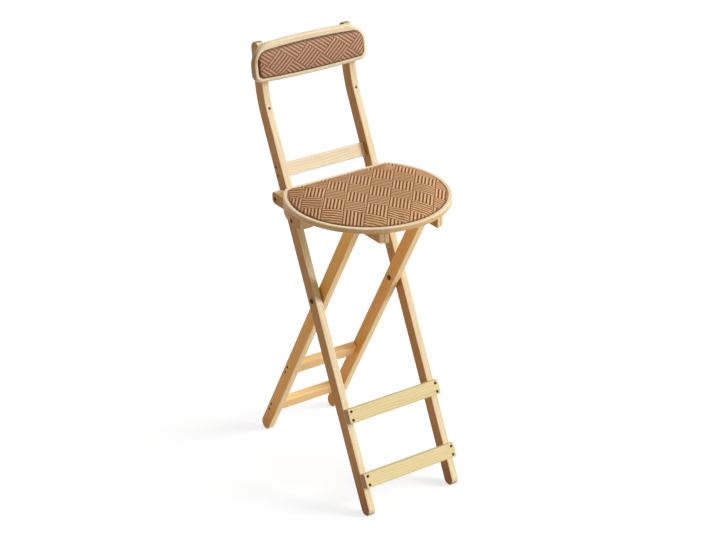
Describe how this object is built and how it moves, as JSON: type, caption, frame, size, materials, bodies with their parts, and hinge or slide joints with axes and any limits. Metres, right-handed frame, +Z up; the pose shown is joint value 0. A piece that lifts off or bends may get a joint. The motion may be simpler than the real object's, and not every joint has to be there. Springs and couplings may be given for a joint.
{
  "type": "folding bar stool",
  "caption": "Tall folding wooden stool with crossed legs, foot rests, a round padded seat cut straight at the back and a small padded backrest.",
  "frame": {"origin": "on the floor, under the middle of the footprint of the open stool", "axes": "+Z up, +X from the sitter's right hand to the left as seen from the front, the sitter faces -Y and the backrest is towards +Y"},
  "size_m": [0.375, 0.4889, 1.0114],
  "materials": {
    "wood_honey": "satin varnish",
    "wood_cream": "satin varnish",
    "cloth": "woven",
    "steel": "dark oiled",
    "rubber": "matt"
  },
  "bodies": {
    "long_frame": {"back_slat": "wood_cream", "back_slat_screw_left_1": "steel", "back_slat_screw_left_2": "steel", "back_slat_screw_right_1": "steel", "back_slat_screw_right_2": "steel", "backrest_board": "wood_cream", "backrest_pad": "cloth", "backrest_screw_left_1": "steel", "backrest_screw_left_2": "steel", "backrest_screw_right_1": "steel", "backrest_screw_right_2": "steel", "crossing_bolt_left": "steel", "crossing_bolt_right": "steel", "foot_rest_lower": "wood_cream", "foot_rest_screw_lower_left_1": "steel", "foot_rest_screw_lower_left_2": "steel", "foot_rest_screw_lower_right_1": "steel", "foot_rest_screw_lower_right_2": "steel", "foot_rest_screw_upper_left_1": "steel", "foot_rest_screw_upper_left_2": "steel", "foot_rest_screw_upper_right_1": "steel", "foot_rest_screw_upper_right_2": "steel", "foot_rest_upper": "wood_cream", "long_leg_left": "wood_honey", "long_leg_right": "wood_honey", "stop_button_left": "rubber", "stop_button_right": "rubber"},
    "rear_frame": {"crossbar_screw_lower_left_1": "steel", "crossbar_screw_lower_left_2": "steel", "crossbar_screw_lower_right_1": "steel", "crossbar_screw_lower_right_2": "steel", "crossbar_screw_upper_left_1": "steel", "crossbar_screw_upper_left_2": "steel", "crossbar_screw_upper_right_1": "steel", "crossbar_screw_upper_right_2": "steel", "crossing_washer_left": "steel", "crossing_washer_right": "steel", "rear_crossbar_lower": "wood_cream", "rear_crossbar_upper": "wood_cream", "rear_leg_left": "wood_honey", "rear_leg_right": "wood_honey", "seat_bolt_left": "steel", "seat_bolt_right": "steel"},
    "seat": {"batten_washer_left": "steel", "batten_washer_right": "steel", "link_bolt_left": "steel", "link_bolt_right": "steel", "seat_batten_left": "wood_honey", "seat_batten_right": "wood_honey", "seat_board": "wood_cream", "seat_pad": "cloth", "side_block_left": "wood_honey", "side_block_right": "wood_honey"},
    "link_left": {"leg_bolt_left": "steel", "link_left": "wood_honey"},
    "link_right": {"leg_bolt_right": "steel", "link_right": "wood_honey"}
  },
  "joints": [
    {"name": "frame_fold", "type": "hinge", "parent": "long_frame", "child": "rear_frame", "pos_m": [0, -0.01652, 0.455], "axis": [1, 0, 0], "range_deg": [-52, 0]},
    {"name": "seat_tilt", "type": "hinge", "parent": "rear_frame", "child": "seat", "pos_m": [0, -0.13818, 0.6734], "axis": [1, 0, 0], "range_deg": [0, 114.6]},
    {"name": "link_swing_left", "type": "hinge", "parent": "seat", "child": "link_left", "pos_m": [-0.14, -0.02851, 0.6734], "axis": [1, 0, 0], "range_deg": [-173.9, 0]},
    {"name": "link_swing_right", "type": "hinge", "parent": "seat", "child": "link_right", "pos_m": [0.14, -0.02851, 0.6734], "axis": [1, 0, 0], "range_deg": [-173.9, 0]}
  ],
  "couplings": [
    {"joint": "seat_tilt", "follows": "frame_fold", "ratio": -2.2031},
    {"joint": "link_swing_left", "follows": "frame_fold", "ratio": 3.3425},
    {"joint": "link_swing_right", "follows": "frame_fold", "ratio": 3.3425}
  ]
}
